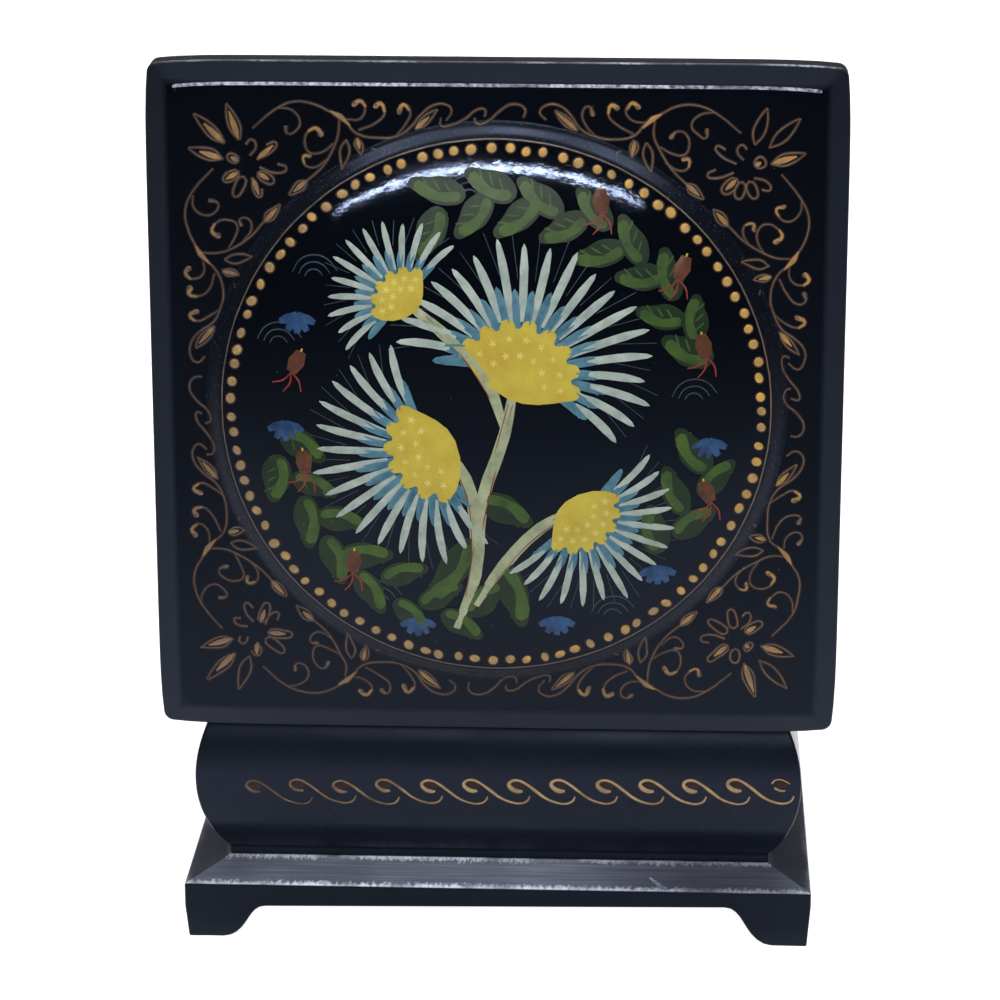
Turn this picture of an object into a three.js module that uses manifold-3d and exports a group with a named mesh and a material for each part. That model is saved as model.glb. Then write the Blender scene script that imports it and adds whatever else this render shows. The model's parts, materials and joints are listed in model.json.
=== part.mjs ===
// A lacquered trinket box: a square box with convex walls on a footed plinth,
// under a hinged square lid with a low dome, modelled with the lid standing open.
// Millimetres, +Z up. The hinge side and the lid's painted face look towards -Y.

import * as THREE from "three";
import { mergeVertices } from "three/addons/utils/BufferGeometryUtils.js";
import Module from "manifold-3d";

const wasm = await Module();
wasm.setup();

// Plinth: a square plate with sloped top edges on four ogee bracket feet
const plinthHalf = 50;
const footHeight = 6.1;
const plateEdge = 3.2;
const slopeRun = 6.8;
const slopeRise = 2.5;
const footFlat = 5.6;
const footLean = 0.5;
const ogeeRun = 7.0;
const ogeeSteps = 8;
const soleHandle = { run: 0.55, rise: 0.06 };
const crownHandle = { run: 0.6, rise: 1 };

// Body: convex walls between two narrow straight bands, hollow and open at the top
const bandHalf = 43.3;
const bulgeHalf = 48.1;
const lowerBand = 1.5;
const bulgeHeight = 26.6;
const upperBand = 3.5;
const wall = 4.0;
const floorThickness = 3.0;
const bulgeSteps = 12;

// Lid: a square plate with a chamfered rim, and a low dome that swells up from it in an S-curve
const lidHalf = 53;
const lidBow = { run: 10, inset: 0.5, easing: 0.4 };
const lidCornerSize = 1.6;
const lidCornerSteps = 4;
const lidRim = 4.2;
const lidChamferRun = 3.3;
const lidChamferRise = 1.5;
const swellRadius = 44.5;
const swellRise = 1.5;
const swellSteps = 6;
const domeRadius = 41.7;
const domeRise = 3.8;
const domePower = 2.4;
const domeRings = 10;
const roundSides = 64;

// Hinge: two leaves with knuckles on one pin, outside the box's upper band
const hingeOffset = 46;
const hingeHalf = 15;
const middleHalf = 4.9;
const knuckleGap = 0.3;
const knuckleRadius = 1.5;
const boreRadius = 0.95;
const pinRadius = 0.65;
const pinHeadRadius = 1.2;
const pinHeadLength = 0.8;
const leafGap = 0.1;
const leafThickness = 0.8;
const leafReach = 5.5;
const leafStart = 1.9;
const hingeSides = 24;

// Room between parts, reach of a cut past the face it opens, and of a joined solid into its neighbour
const clearance = 0.3;
const cutMargin = 1;
const overlap = 0.2;
const openAngle = Math.PI / 2;

// Heights and reaches that follow from the sizes above
const arrisHeight = footHeight + plateEdge;
const plinthTop = arrisHeight + slopeRise;
const bulgeBottom = plinthTop + lowerBand;
const bulgeTop = bulgeBottom + bulgeHeight;
const bodyTop = bulgeTop + upperBand;
const hingeHeight = bodyTop + clearance;
const shaftHalf = hingeHalf + clearance;
const slotHalf = shaftHalf + pinHeadLength + clearance;
const lidField = lidRim + lidChamferRise;
const domeEdge = lidField + swellRise;
const lidApex = domeEdge + domeRise;
const depthShift = (hingeOffset + lidApex - plinthHalf) / 2;

const lacquer = { color: 0x12151f, roughness: 0.22, metalness: 0 };
const brass = { color: 0xb08d4a, roughness: 0.35, metalness: 1 };

// Solids and meshes
function solidOf(geometry) {
  geometry.deleteAttribute("normal");
  geometry.deleteAttribute("uv");
  const merged = mergeVertices(geometry);
  return new wasm.Manifold(new wasm.Mesh({
    numProp: 3,
    vertProperties: merged.attributes.position.array,
    triVerts: new Uint32Array(merged.index.array),
  }));
}

function meshOf(name, solid, look) {
  const result = solid.getMesh();
  const geometry = new THREE.BufferGeometry();
  const positions = new Float32Array(result.vertProperties);
  geometry.setAttribute("position", new THREE.BufferAttribute(positions, 3));
  geometry.setIndex(new THREE.BufferAttribute(new Uint32Array(result.triVerts), 1));
  geometry.computeVertexNormals();
  const mesh = new THREE.Mesh(geometry, new THREE.MeshStandardMaterial(look));
  mesh.name = name;
  return mesh;
}

// A block between two opposite corners
function block(low, high) {
  const size = high.map((value, axis) => value - low[axis]);
  const geometry = new THREE.BoxGeometry(...size);
  geometry.translate(...low.map((value, axis) => value + size[axis] / 2));
  return solidOf(geometry);
}

// A turned solid: profile points are [radius, height], from axis to axis, upwards
function turned(profile, sides) {
  const points = profile.map(([radius, height]) => new THREE.Vector2(radius, height));
  const geometry = new THREE.LatheGeometry(points, sides);
  geometry.rotateX(Math.PI / 2);
  return geometry;
}

// A square solid with mitred corners: profile points are [half width, height]
function mitred(profile) {
  const diagonal = profile.map(([half, height]) => [half * Math.SQRT2, height]);
  const geometry = turned(diagonal, 4);
  geometry.rotateZ(Math.PI / 4);
  return solidOf(geometry);
}

// A rod along X, centred on the origin
function rod(radius, length, sides) {
  const geometry = new THREE.CylinderGeometry(radius, radius, length, sides);
  geometry.rotateZ(Math.PI / 2);
  return geometry;
}

// The plinth's arch between two feet, as a channel that runs right through along Y
function footArch() {
  const inner = plinthHalf - footFlat;
  const crown = inner - ogeeRun;
  const soleX = inner - ogeeRun * soleHandle.run;
  const soleZ = footHeight * soleHandle.rise;
  const crownX = inner - ogeeRun * crownHandle.run;
  const crownZ = footHeight * crownHandle.rise;
  const outline = new THREE.Shape();
  outline.moveTo(-inner, -cutMargin);
  outline.lineTo(inner, -cutMargin);
  outline.lineTo(inner, 0);
  outline.bezierCurveTo(soleX, soleZ, crownX, crownZ, crown, footHeight);
  outline.lineTo(-crown, footHeight);
  outline.bezierCurveTo(-crownX, crownZ, -soleX, soleZ, -inner, 0);
  const length = (plinthHalf + cutMargin) * 2;
  const geometry = new THREE.ExtrudeGeometry(outline, {
    depth: length,
    bevelEnabled: false,
    curveSegments: ogeeSteps,
  });
  geometry.translate(0, 0, -length / 2);
  geometry.rotateX(Math.PI / 2);
  return geometry;
}

function makePlinth() {
  const plate = mitred([
    [0, 0],
    [plinthHalf - footLean, 0],
    [plinthHalf, footHeight],
    [plinthHalf, arrisHeight],
    [plinthHalf - slopeRun, plinthTop],
    [0, plinthTop],
  ]);
  const across = footArch();
  const along = footArch();
  along.rotateZ(Math.PI / 2);
  return plate.subtract(solidOf(across)).subtract(solidOf(along));
}

// The body's wall: half width at a height, an arc between the two bands
function bulgeProfile() {
  const sagitta = bulgeHalf - bandHalf;
  const halfChord = bulgeHeight / 2;
  const radius = (halfChord ** 2 + sagitta ** 2) / (2 * sagitta);
  const profile = [];
  for (let step = 0; step <= bulgeSteps; step += 1) {
    const offset = -halfChord + (bulgeHeight * step) / bulgeSteps;
    const inset = radius - Math.sqrt(radius ** 2 - offset ** 2);
    profile.push([bulgeHalf - inset, bulgeBottom + halfChord + offset]);
  }
  return profile;
}

function makeBody() {
  const outside = mitred([
    [0, plinthTop],
    [bandHalf, plinthTop],
    ...bulgeProfile(),
    [bandHalf, bodyTop],
    [0, bodyTop],
  ]);
  const inner = bandHalf - wall;
  const inside = block(
    [-inner, -inner, plinthTop + floorThickness],
    [inner, inner, bodyTop + cutMargin],
  );
  const pocketDepth = leafGap + leafThickness;
  const pocket = block(
    [-shaftHalf, -bandHalf - cutMargin, bodyTop - pocketDepth],
    [shaftHalf, -hingeOffset + leafReach + clearance, bodyTop + cutMargin],
  );
  return outside.subtract(inside).subtract(pocket);
}

// The lid seen from above: a square whose sides bow in a little towards its small round corners
function lidOutline() {
  const bowStart = lidHalf - lidBow.run;
  const bowMiddle = lidHalf - lidBow.run * lidBow.easing;
  const bowEnd = lidHalf - lidBow.inset;
  const cornerStart = lidHalf - lidCornerSize;
  const corner = [
    [[lidHalf, bowMiddle], [bowEnd, cornerStart]],
    [[bowEnd, bowEnd], [cornerStart, bowEnd]],
    [[bowMiddle, lidHalf], [bowStart, lidHalf]],
  ];
  const middle = new THREE.Vector2();
  const outline = new THREE.Shape();
  outline.moveTo(lidHalf, -bowStart);
  for (const angle of [0, Math.PI / 2, Math.PI, Math.PI * 1.5]) {
    const turnedTo = ([x, y]) => new THREE.Vector2(x, y).rotateAround(middle, angle);
    outline.lineTo(...turnedTo([lidHalf, bowStart]));
    for (const [control, end] of corner) {
      outline.quadraticCurveTo(...turnedTo(control), ...turnedTo(end));
    }
  }
  return outline;
}

// The lid lies closed here: its underside at height 0, the hinge axis along X at the origin
function makeLid() {
  const plate = mitred([
    [0, 0],
    [lidHalf, 0],
    [lidHalf, lidRim],
    [lidHalf - lidChamferRun, lidField],
    [0, lidField],
  ]);
  const rounded = new THREE.ExtrudeGeometry(lidOutline(), {
    depth: lidField + cutMargin * 2,
    bevelEnabled: false,
    curveSegments: lidCornerSteps,
  });
  rounded.translate(0, 0, -cutMargin);

  const domeProfile = [[0, lidField - overlap], [swellRadius, lidField - overlap]];
  for (let step = 0; step <= swellSteps; step += 1) {
    const share = step / swellSteps;
    const radius = swellRadius + (domeRadius - swellRadius) * share;
    domeProfile.push([radius, lidField + swellRise * THREE.MathUtils.smoothstep(share, 0, 1)]);
  }
  for (let ring = 1; ring <= domeRings; ring += 1) {
    const angle = (ring / domeRings) * (Math.PI / 2);
    const share = ring === domeRings ? 0 : Math.cos(angle);
    domeProfile.push([domeRadius * share, domeEdge + domeRise * (1 - share ** domePower)]);
  }
  const dome = turned(domeProfile, roundSides);

  const centre = [0, hingeOffset, 0];
  const knuckleRoom = knuckleRadius + clearance;
  const leafRoom = leafGap + leafThickness + clearance;
  const mortise = block(
    [-slotHalf, -knuckleRoom, -cutMargin],
    [slotHalf, knuckleRoom, knuckleRoom],
  ).add(block(
    [-shaftHalf, 0, -cutMargin],
    [shaftHalf, leafReach + clearance, leafRoom],
  ));
  return plate
    .intersect(solidOf(rounded))
    .add(solidOf(dome))
    .translate(centre)
    .subtract(mortise);
}

// One hinge leaf about the axis at the origin, reaching along +Y, on the side above or below it
function makeLeaf(side, spans) {
  const heights = [side * leafGap, side * (leafGap + leafThickness)];
  const low = Math.min(...heights);
  const high = Math.max(...heights);
  let leaf = block([-hingeHalf, leafStart, low], [hingeHalf, leafReach, high]);
  for (const [start, end] of spans) {
    const barrel = rod(knuckleRadius, end - start, hingeSides);
    barrel.translate((start + end) / 2, 0, 0);
    const web = block([start, 0, low], [end, leafStart + overlap, high]);
    leaf = leaf.add(solidOf(barrel)).add(web);
  }
  return leaf.subtract(solidOf(rod(boreRadius, (hingeHalf + cutMargin) * 2, hingeSides)));
}

function makePin() {
  let pin = solidOf(rod(pinRadius, (shaftHalf + overlap) * 2, hingeSides));
  for (const end of [-1, 1]) {
    const head = rod(pinHeadRadius, pinHeadLength, hingeSides);
    head.translate(end * (shaftHalf + pinHeadLength / 2), 0, 0);
    pin = pin.add(solidOf(head));
  }
  return pin;
}

// The box stands with its lid open: the lid and its leaf turn about the hinge axis
const outerKnuckle = middleHalf + knuckleGap;
const bodyLeaf = makeLeaf(-1, [[-hingeHalf, -outerKnuckle], [outerKnuckle, hingeHalf]]);
const lidLeaf = makeLeaf(1, [[-middleHalf, middleHalf]]);

const lidGroup = new THREE.Group();
lidGroup.position.set(0, -hingeOffset, hingeHeight);
lidGroup.rotation.x = openAngle;
lidGroup.add(meshOf("lid", makeLid(), lacquer));
lidGroup.add(meshOf("hinge_leaf_lid", lidLeaf, brass));

const hingeGroup = new THREE.Group();
hingeGroup.position.set(0, -hingeOffset, hingeHeight);
hingeGroup.add(meshOf("hinge_leaf_body", bodyLeaf, brass));
hingeGroup.add(meshOf("hinge_pin", makePin(), brass));

const box = new THREE.Group();
box.name = "lacquer_trinket_box";
box.position.y = depthShift;
box.add(meshOf("plinth", makePlinth(), lacquer));
box.add(meshOf("box_body", makeBody(), lacquer));
box.add(lidGroup);
box.add(hingeGroup);

export default box;
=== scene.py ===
# %% [markdown]
# # A lacquered trinket box
# The real box is wood under many coats of black lacquer: a plinth on bracket feet, a box with swelling
# walls, and a square lid with a low painted dome, which stands open on its hinge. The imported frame
# gives the pieces, their places and the hinge. Here each wooden piece is modelled again with the soft
# arrises that lacquer leaves, and then the decoration is painted on as thin films of paint.

# %% Load the frame
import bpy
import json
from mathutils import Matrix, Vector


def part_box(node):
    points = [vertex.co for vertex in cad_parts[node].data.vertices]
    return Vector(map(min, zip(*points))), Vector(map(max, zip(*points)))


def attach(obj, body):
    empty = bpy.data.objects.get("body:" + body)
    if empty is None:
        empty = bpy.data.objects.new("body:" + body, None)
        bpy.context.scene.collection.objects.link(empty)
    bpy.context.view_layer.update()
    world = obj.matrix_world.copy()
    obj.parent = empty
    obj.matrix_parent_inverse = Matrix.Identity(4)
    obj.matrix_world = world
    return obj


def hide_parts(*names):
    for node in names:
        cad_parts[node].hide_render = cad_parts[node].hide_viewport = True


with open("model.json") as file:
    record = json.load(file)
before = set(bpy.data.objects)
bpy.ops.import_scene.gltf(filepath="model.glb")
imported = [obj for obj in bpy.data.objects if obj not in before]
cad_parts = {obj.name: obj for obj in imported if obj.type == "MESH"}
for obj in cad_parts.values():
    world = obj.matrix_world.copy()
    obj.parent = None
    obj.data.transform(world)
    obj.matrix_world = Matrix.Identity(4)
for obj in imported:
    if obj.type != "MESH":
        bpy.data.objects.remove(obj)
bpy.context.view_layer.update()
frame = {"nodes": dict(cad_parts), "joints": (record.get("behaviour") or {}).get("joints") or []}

import json
import math
import random

import bmesh
import bpy
from mathutils import Matrix, Quaternion, Vector

MM = 0.001
print("nodes in the frame:", sorted(frame["nodes"]))

# %% [markdown]
# ## Materials
# Every finish is made of nodes. One function turns a colour picker's hex value into the linear colour
# that the shader wants, and one function adds a node, sets it and links it. Short ones on top of it
# make the layers that come back in every finish: a noise, a ramp, a sum, a mix of two colours and a
# bump. A pattern's size is given in millimetres, because the scale of a texture in Object coordinates
# is one over its size in metres.

# %% Colour and node helpers
def linear(hex_colour):
    """An sRGB colour such as '#c79a4a' as linear red, green, blue and alpha"""
    parts = [int(hex_colour[i:i + 2], 16) / 255 for i in (1, 3, 5)]
    return [c / 12.92 if c <= 0.04045 else ((c + 0.055) / 1.055) ** 2.4 for c in parts] + [1.0]


def set_inputs(tree, node, inputs):
    """Sets a node's sockets to plain values, or links other nodes' sockets to them"""
    for name, value in inputs.items():
        if isinstance(value, bpy.types.NodeSocket):
            tree.links.new(value, node.inputs[name])
        else:
            node.inputs[name].default_value = value


def add_node(tree, kind, inputs, **settings):
    """Adds one node: settings are its own properties, inputs are plain values or sockets to link"""
    node = tree.nodes.new(kind)
    for name, value in settings.items():
        setattr(node, name, value)
    set_inputs(tree, node, inputs)
    return node


def new_material(name):
    """A node material: the material, its tree, its shader and its Object coordinates"""
    material = bpy.data.materials.new(name)
    material.use_nodes = True
    tree = material.node_tree
    where = add_node(tree, "ShaderNodeTexCoord", {}).outputs["Object"]
    return material, tree, tree.nodes["Principled BSDF"], where


def per_mm(size):
    """The texture scale that makes a feature this many millimetres wide"""
    return 1.0 / (size * MM)


def noise(tree, where, size, detail, roughness=0.5):
    """A cloudy noise, its patches a size in millimetres or three sizes along the axes"""
    scale = 1.0
    if isinstance(size, tuple):
        stretch = {"Vector": where, "Scale": [per_mm(along) for along in size]}
        where = add_node(tree, "ShaderNodeMapping", stretch).outputs["Vector"]
    else:
        scale = per_mm(size)
    return add_node(tree, "ShaderNodeTexNoise", {"Vector": where, "Scale": scale, "Detail": detail,
                                                 "Roughness": roughness}).outputs["Fac"]


def ramp(tree, value, start, end, low=0.0, high=1.0, shape="LINEAR"):
    """A value's way from start to end, as a way from low to high that stops at both ends"""
    return add_node(tree, "ShaderNodeMapRange", {"Value": value, "From Min": start, "From Max": end,
                                                 "To Min": low, "To Max": high},
                    interpolation_type=shape).outputs["Result"]


def maths(tree, operation, a, b=0.0, clamp=False):
    """The result of one operation on one or two values"""
    return add_node(tree, "ShaderNodeMath", {0: a, 1: b}, operation=operation,
                    use_clamp=clamp).outputs["Value"]


def product(tree, *masks):
    """Masks multiplied with each other"""
    share = masks[0]
    for mask in masks[1:]:
        share = maths(tree, "MULTIPLY", share, mask)
    return share


def mixed(tree, share, a, b):
    """Two colours, each a hex value or a socket, mixed by a share"""
    a, b = [linear(colour) if isinstance(colour, str) else colour for colour in (a, b)]
    return add_node(tree, "ShaderNodeMix", {"Factor": share, "A": a, "B": b},
                    data_type="RGBA").outputs["Result"]


def bumped(tree, height, strength, depth):
    """A surface direction that follows a height, its depth in millimetres"""
    return add_node(tree, "ShaderNodeBump", {"Height": height, "Strength": strength,
                                             "Distance": depth * MM}).outputs["Normal"]


def split(tree, vector):
    """A vector's three parts, by the names X, Y and Z"""
    return add_node(tree, "ShaderNodeSeparateXYZ", {"Vector": vector}).outputs


def farther(tree, a, b):
    """The larger of two distances from zero: a square's reach from its middle"""
    return maths(tree, "MAXIMUM", maths(tree, "ABSOLUTE", a), maths(tree, "ABSOLUTE", b))


print("mid grey #808080 is", round(linear("#808080")[0], 3), "in linear light")

# %% [markdown]
# ### Black lacquer
# Oil lacquer over wood, flatted and polished: a deep blue-black under a clear skin. The eye sees a
# nearly black ground, a sharp reflection that is gently rippled by the hand-rubbed surface, and specks
# of dust. At the lid's rim the polish gives way to a rubbed satin. The ripple is bump, and the
# reflection keeps a low specular level, because the old varnish is less dense than glass.

# %% The lacquer material
LACQUER_SPECULAR = 0.18
LACQUER_TINT = linear("#c4d6ff")
RUBBED_GROUND = "#171a22"
RUBBED_ROUGHNESS = 0.28
DUST = "#4a5260"


def lacquer_skin(tree, shader, base, roughness, height, ripple):
    """Links the colour, the roughness and the bump that every lacquer has"""
    set_inputs(tree, shader, {"Base Color": base, "Roughness": roughness,
                              "Normal": bumped(tree, height, ripple, 0.08),
                              "Specular IOR Level": LACQUER_SPECULAR, "Specular Tint": LACQUER_TINT})


def black_lacquer(name, ground, gloss, ripple, dust=(4.2, 0.034), rim=None):
    """gloss is the roughness from polished to dull places, dust the distance between specks in mm and
    their size as a share of it, rim the height of the lid's middle and the distances from it at which
    the rubbed rim starts and ends, in metres"""
    material, tree, shader, where = new_material(name)
    peel = noise(tree, where, 1.3, 3.0, 0.55)
    roughness = ramp(tree, noise(tree, where, 22.0, 4.0, 0.6), 0.35, 0.7, *gloss)
    specks = add_node(tree, "ShaderNodeTexVoronoi", {"Vector": where, "Scale": per_mm(dust[0])})
    dusty = ramp(tree, specks.outputs["Distance"], dust[1] / 2, dust[1], 0.5, 0.0)
    base = mixed(tree, dusty, ground, DUST)
    if rim:
        middle, start, end = rim
        axes = split(tree, where)
        reach = farther(tree, axes["X"], maths(tree, "SUBTRACT", axes["Z"], middle))
        share = ramp(tree, reach, start, end, shape="SMOOTHSTEP")
        base = mixed(tree, share, base, RUBBED_GROUND)
        roughness = ramp(tree, share, 0.0, 1.0, roughness, RUBBED_ROUGHNESS)
    lacquer_skin(tree, shader, base, roughness, peel, ripple)
    return material


lid_low, lid_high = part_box("lid")
lid_rim = ((lid_low.z + lid_high.z) / 2, 49.1 * MM, 50.3 * MM)
lid_lacquer = black_lacquer("polished_black_lacquer", "#030509", (0.03, 0.06), 0.08, rim=lid_rim)
rubbed_lacquer = black_lacquer("rubbed_black_lacquer", "#080a10", (0.24, 0.36), 0.12, dust=(0.6, 0.2))
body_lacquer = black_lacquer("satin_black_lacquer", "#12161f", (0.22, 0.32), 0.06)
print("lacquers:", lid_lacquer.name, rubbed_lacquer.name, body_lacquer.name)

# %% [markdown]
# ### Pale marks and painted glints
# The lid's upper edges carry a painted glint: a whitish band in the lacquer's colour, where a coarse
# noise says where along the edge it shows and a fine one breaks it up; the outer edge has less of it.
# The same pale marks make a scratch. The plinth's slopes are hazy from the brush, with a painted sheen
# that is most in front and behind, faint streaks along them, and a ragged painted glint along both
# edges, where the distance from an edge and a fine noise are added.

# %% Pale marks: the lid's painted edge glints and a scratch
def pale_marked_lacquer(name, ground, pale_colour, least):
    """Lacquer with pale marks; least is the coarse noise's level from which they show: higher means fewer"""
    material, tree, shader, where = new_material(name)
    # The pale colour is a painted glint on the lid's edges and the white of a scratch on the plinth
    along = ramp(tree, noise(tree, where, 11.0, 2.0), least, least + 0.18)
    grains = ramp(tree, noise(tree, where, 0.7, 3.0), 0.32, 0.6)
    colour = mixed(tree, product(tree, along, grains), ground, pale_colour)
    set_inputs(tree, shader, {"Base Color": colour, "Roughness": 0.3,
                              "Specular IOR Level": LACQUER_SPECULAR})
    return material


# Two painted glints for the open lid's top edges, the inner one brighter, and the white of a scratch
lid_glint = pale_marked_lacquer("pale_marked_lacquer", "#20232d", "#b3b6c6", 0.3)
lid_faint_glint = pale_marked_lacquer("faint_glint_lacquer", "#20232d", "#8d91a0", 0.47)
scratched = pale_marked_lacquer("scratched_lacquer", "#4d5363", "#9fa6b8", 0.4)
print("worn lacquers:", lid_glint.name, lid_faint_glint.name, scratched.name)

# %% The plinth's brushed lacquer
# The painted sheen and glint on the slopes are strongest at this place from left to right and fade between
# these distances from it
SHEEN_MIDDLE = -12.0 * MM
SHEEN_ENDS = (16.0 * MM, 44.0 * MM)


def brushed_lacquer(name, ground, haze_and_sheen, pale_colour, slope_low, slope_high):
    """slope_low and slope_high are the heights of the slopes' two edges in metres; the haze colour includes
    a painted sheen, the pale colour is a painted glint along the edges
    """
    material, tree, shader, where = new_material(name)
    axes = split(tree, where)
    facing = split(tree, where.node.outputs["Normal"])
    sloping = ramp(tree, facing["Z"], 0.5, 0.85)
    # The front and back slopes take more of the painted sheen and glint than the sides
    in_front = ramp(tree, maths(tree, "ABSOLUTE", facing["Y"]), 0.12, 0.26, 0.3, 1.0)
    streaks = ramp(tree, noise(tree, where, (16.0, 0.5, 0.5), 3.0), 0.35, 0.68, 0.6, 1.0)
    cloudy = ramp(tree, noise(tree, where, 16.0, 3.0), 0.35, 0.65, 0.7, 1.0)
    aside = maths(tree, "ABSOLUTE", maths(tree, "SUBTRACT", axes["X"], SHEEN_MIDDLE))
    # ends: the painted sheen and glint fade from the slope's middle towards its ends
    ends = ramp(tree, aside, *SHEEN_ENDS, 1.0, 0.35)
    slope_middle = (slope_low + slope_high) / 2
    from_middle = maths(tree, "ABSOLUTE", maths(tree, "SUBTRACT", axes["Z"], slope_middle))
    near_edge = ramp(tree, from_middle, 0.0, slope_high - slope_middle)
    dabs = noise(tree, where, (0.5, 1.1, 1.1), 4.0, 0.65)
    # ragged and broken place the painted glint along both edges of the slopes
    ragged = ramp(tree, maths(tree, "ADD", near_edge, dabs), 1.2, 1.5)
    broken = ramp(tree, noise(tree, where, 9.0, 2.0), 0.36, 0.52, 0.2, 1.0)
    slope = product(tree, sloping, in_front)
    # Brush haze with a painted sheen, then a painted glint along both edges on top of it
    hazy_and_sheened = mixed(tree, product(tree, slope, streaks, cloudy, ends), ground, haze_and_sheen)
    worn = mixed(tree, product(tree, slope, ragged, broken, ends), hazy_and_sheened, pale_colour)
    rough = ramp(tree, slope, 0.0, 1.0, 0.24, 0.5)
    lacquer_skin(tree, shader, worn, rough, dabs, 0.1)
    return material


FOOT_HEIGHT = 6.1 * MM
PLATE_EDGE = 3.2 * MM
plinth_low, plinth_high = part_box("plinth")
arris_height = FOOT_HEIGHT + PLATE_EDGE
# 646876 is the brush haze with its painted sheen, #c9cfdd the painted glint along the slopes' edges
plinth_lacquer = brushed_lacquer("brushed_black_lacquer", "#06080e", "#646876", "#c9cfdd",
                                 arris_height, plinth_high.z)
print("plinth finish:", plinth_lacquer.name)

# %% [markdown]
# ## From mesh to piece
# Every piece ends the same way: doubles merged, faces turned outwards, smooth shading that breaks only
# at hard corners, and a body of the frame to ride on. Wide flat faces beside a rounded arris would
# look swollen, so on wood a Weighted Normal modifier lets the big faces keep their own direction.

# %% Finish a piece
DOUBLES = 0.0005 * MM
CUT_SNAP = 0.001 * MM
NEAR = 0.01 * MM
HARD_CORNER = math.radians(40)


def make_piece(bm, name, body, slot, *materials, weighted=True):
    """Turns a finished bmesh into a piece that rides a body; slot is not used"""
    bmesh.ops.remove_doubles(bm, verts=bm.verts, dist=DOUBLES)
    bmesh.ops.recalc_face_normals(bm, faces=bm.faces)
    open_edges = sum(not edge.is_manifold for edge in bm.edges)
    mesh = bpy.data.meshes.new(name)
    bm.to_mesh(mesh)
    bm.free()
    mesh.shade_smooth()
    mesh.set_sharp_from_angle(angle=HARD_CORNER)
    for material in materials:
        mesh.materials.append(material)
    piece = bpy.data.objects.new(name, mesh)
    bpy.context.scene.collection.objects.link(piece)
    if weighted:
        normals = piece.modifiers.new("flat_faces_stay_flat", "WEIGHTED_NORMAL")
        normals.keep_sharp = True
    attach(piece, body)
    print(name, "has", len(mesh.polygons), "faces,", open_edges, "open edges, and rides", body)
    return piece


def new_of(result, kind):
    """The vertices, edges or faces of one kind in an operator's result"""
    return [item for item in result["geom"] if isinstance(item, kind)]


def pushed(bm, face):
    """Extrudes a face, drops the face that it came from, and gives the new one"""
    grown = new_of(bmesh.ops.extrude_face_region(bm, geom=[face]), bmesh.types.BMFace)[0]
    bmesh.ops.delete(bm, geom=[face], context="FACES_ONLY")
    return grown


def cut_faces(bm, faces, point, normal):
    """Cuts only these faces by a plane"""
    edges = {edge for face in faces for edge in face.edges}
    verts = {vert for face in faces for vert in face.verts}
    bmesh.ops.bisect_plane(bm, geom=list(faces) + list(edges) + list(verts), dist=CUT_SNAP,
                           plane_co=point, plane_no=normal)


def faces_at(bm, axis, value):
    """The flat faces that lie in the plane where this axis has this value"""
    return [f for f in bm.faces if all(abs(v.co[axis] - value) < NEAR for v in f.verts)]


def round_arrises(bm, edges, radius, segments=3):
    """Rounds edges and gives the new faces"""
    result = bmesh.ops.bevel(bm, geom=edges, offset=radius, offset_type="OFFSET", segments=segments,
                             profile=0.5, affect="EDGES", clamp_overlap=True, material=-1)
    return result["faces"]


def steep_edges(bm, degrees):
    """The edges where two faces meet at more than this angle"""
    return [e for e in bm.edges if e.is_manifold and e.calc_face_angle() > math.radians(degrees)]


print("smooth shading breaks at", round(math.degrees(HARD_CORNER)), "degrees")

# %% [markdown]
# ## The plinth
# A planed plate with sloping top edges, on four bracket feet sawn to an ogee. A cube makes the plate,
# an extruded and narrowed top makes the slopes, and the underside is cut so that each corner face can
# be extruded down in steps, shrinking towards its outer corner along the ogee. The feet lean in a
# little, and they differ: the curve runs longer on the right than on the left, and the edge that is
# sawn between them climbs a little to the right.

# %% Model the plinth
plinth_middle = (plinth_low + plinth_high) / 2
plinth_half = (plinth_high.x - plinth_low.x) / 2
SLOPE_RUN = 6.8 * MM
SLOPE_RISE = plinth_high.z - FOOT_HEIGHT - PLATE_EDGE
FOOT_FLAT = 5.6 * MM
FOOT_LEAN = 0.5 * MM
OGEE_RUN = {-1: 7.2 * MM, 1: 8.1 * MM}
OGEE_STEPS = 9
SAW_TILT = 0.75 * MM
PLINTH_ARRIS = 0.5 * MM
PLINTH_STEEP = 25


def bezier(a, b, c, d, t):
    """The value at t of a cubic Bezier curve with these four values"""
    return a * (1 - t) ** 3 + 3 * b * t * (1 - t) ** 2 + 3 * c * t ** 2 * (1 - t) + d * t ** 3


def bracket_foot(bm, face, side):
    """Extrudes one corner of the plate's underside down to the table along an ogee"""
    corner = max((v.co.copy() for v in face.verts), key=lambda co: (co.xy - plinth_middle.xy).length)
    reach = FOOT_FLAT + OGEE_RUN[side]
    for step in range(OGEE_STEPS - 1, -1, -1):
        t = step / OGEE_STEPS
        run = OGEE_RUN[side] * bezier(0.0, 0.55, 0.6, 1.0, t)
        height = FOOT_HEIGHT * bezier(0.0, 0.06, 1.0, 1.0, t)
        face = pushed(bm, face)
        shrink = (FOOT_FLAT + run) / reach
        bmesh.ops.scale(bm, vec=(shrink, shrink, 1), space=Matrix.Translation(-corner), verts=face.verts)
        bmesh.ops.translate(bm, vec=(0, 0, height - face.verts[0].co.z), verts=face.verts)
        reach = FOOT_FLAT + run


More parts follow.
